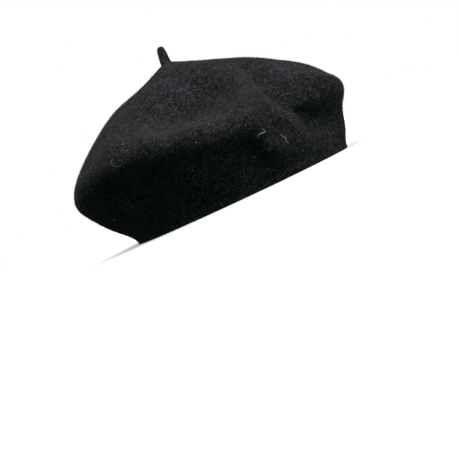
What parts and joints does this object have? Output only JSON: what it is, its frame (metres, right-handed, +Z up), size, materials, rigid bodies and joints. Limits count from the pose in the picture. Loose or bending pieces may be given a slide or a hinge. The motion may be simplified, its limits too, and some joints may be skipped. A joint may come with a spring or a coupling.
{
  "type": "felt beret",
  "caption": "Black wool felt beret with a short felt stalk at its crown, a soft front crease, a rolled edge and an open underside, resting on its rim.",
  "frame": {"origin": "middle of the oval head opening, level with the rim's lower edge, which is the surface that the hat rests on", "axes": "+Z up through the crown, -Y towards the front of the hat, +X towards the wearer's left"},
  "size_m": [0.2383, 0.2447, 0.1385],
  "materials": {
    "felt": "matt black wool felt with a short fuzzy nap",
    "stalk_felt": "matt black wool felt, rolled tight"
  },
  "bodies": {
    "root": {"felt_body": "felt", "stalk": "stalk_felt"}
  },
  "joints": []
}
